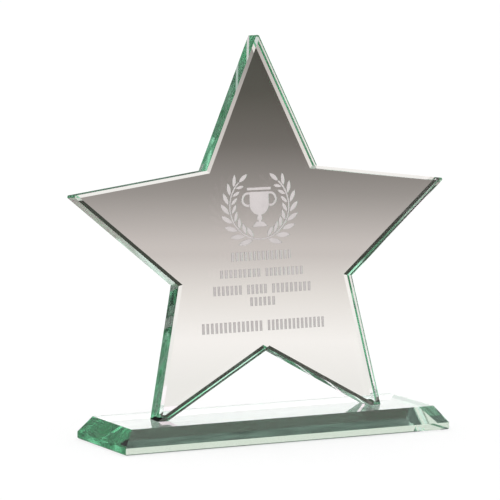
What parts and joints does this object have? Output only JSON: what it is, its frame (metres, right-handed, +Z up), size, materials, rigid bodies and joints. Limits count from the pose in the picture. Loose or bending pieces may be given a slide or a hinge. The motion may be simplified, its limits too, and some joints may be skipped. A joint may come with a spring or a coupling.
{
  "type": "star trophy",
  "caption": "Free-standing glass award: a star plate with an engraved face, leaning back slightly, bonded by two feet to a long bevelled base.",
  "frame": {"origin": "on the surface that the trophy stands on, under the middle of the base", "axes": "+Z up; -Y is the engraved front; +X along the length of the base, to the right of someone facing the engraving"},
  "size_m": [0.2122, 0.06, 0.2068],
  "materials": {
    "star_glass": "polished jade-tinted float glass, sandblasted pockets on the face",
    "base_glass": "polished jade-tinted float glass with wide bevels",
    "bond": "clear cured adhesive"
  },
  "bodies": {
    "root": {"star_plate": "star_glass", "base_plinth": "base_glass", "bond_film_left": "bond", "bond_film_right": "bond"}
  },
  "joints": []
}
